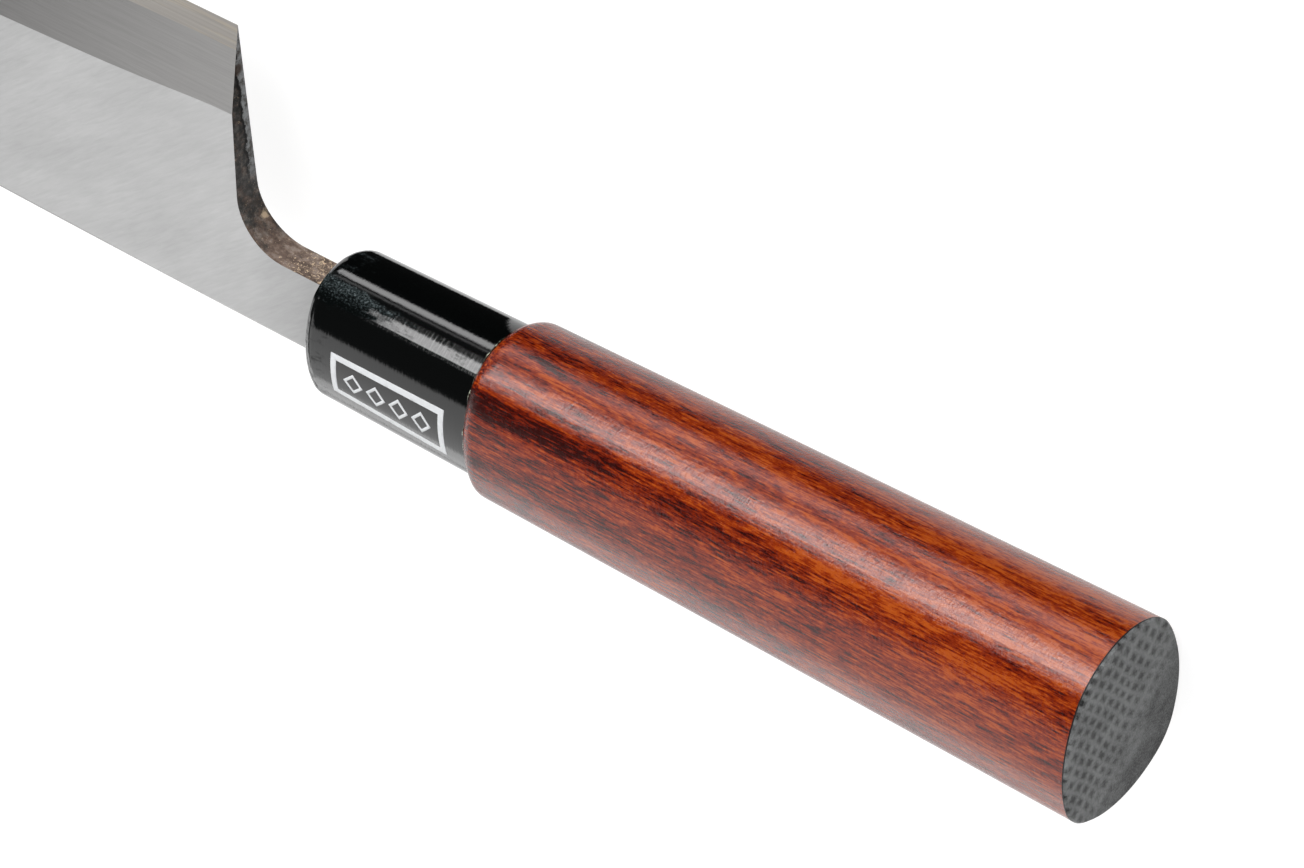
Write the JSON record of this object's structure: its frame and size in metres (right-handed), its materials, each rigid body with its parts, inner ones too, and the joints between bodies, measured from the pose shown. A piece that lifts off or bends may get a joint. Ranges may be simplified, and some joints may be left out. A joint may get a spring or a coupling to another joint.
{
  "type": "deba knife",
  "caption": "Heavy single-bevel kitchen knife for fish, with a broad pointed blade, a moulded ferrule and an oval lacquered wooden handle.",
  "frame": {"origin": "centre of the knife's bounding box on the surface that it lies on, flat left side of the blade down", "axes": "+X from the tip to the butt, +Y from the spine to the cutting edge, +Z out of the bevelled right face"},
  "size_m": [0.2938, 0.0522, 0.024],
  "materials": {
    "soft_iron": "satin right face, brushed bevel, forge-black heel",
    "hard_steel": "fine brushed",
    "ferrule_plastic": "moulded gloss",
    "lacquered_wood": "sanded and lacquered",
    "bedding_resin": "cast",
    "butt_coat": "satin coat over end grain"
  },
  "bodies": {
    "root": {"blade_body": "soft_iron", "edge_steel": "hard_steel", "ferrule": "ferrule_plastic", "handle_grip": "lacquered_wood", "tang_bedding": "bedding_resin", "butt_seal": "butt_coat"}
  },
  "joints": []
}
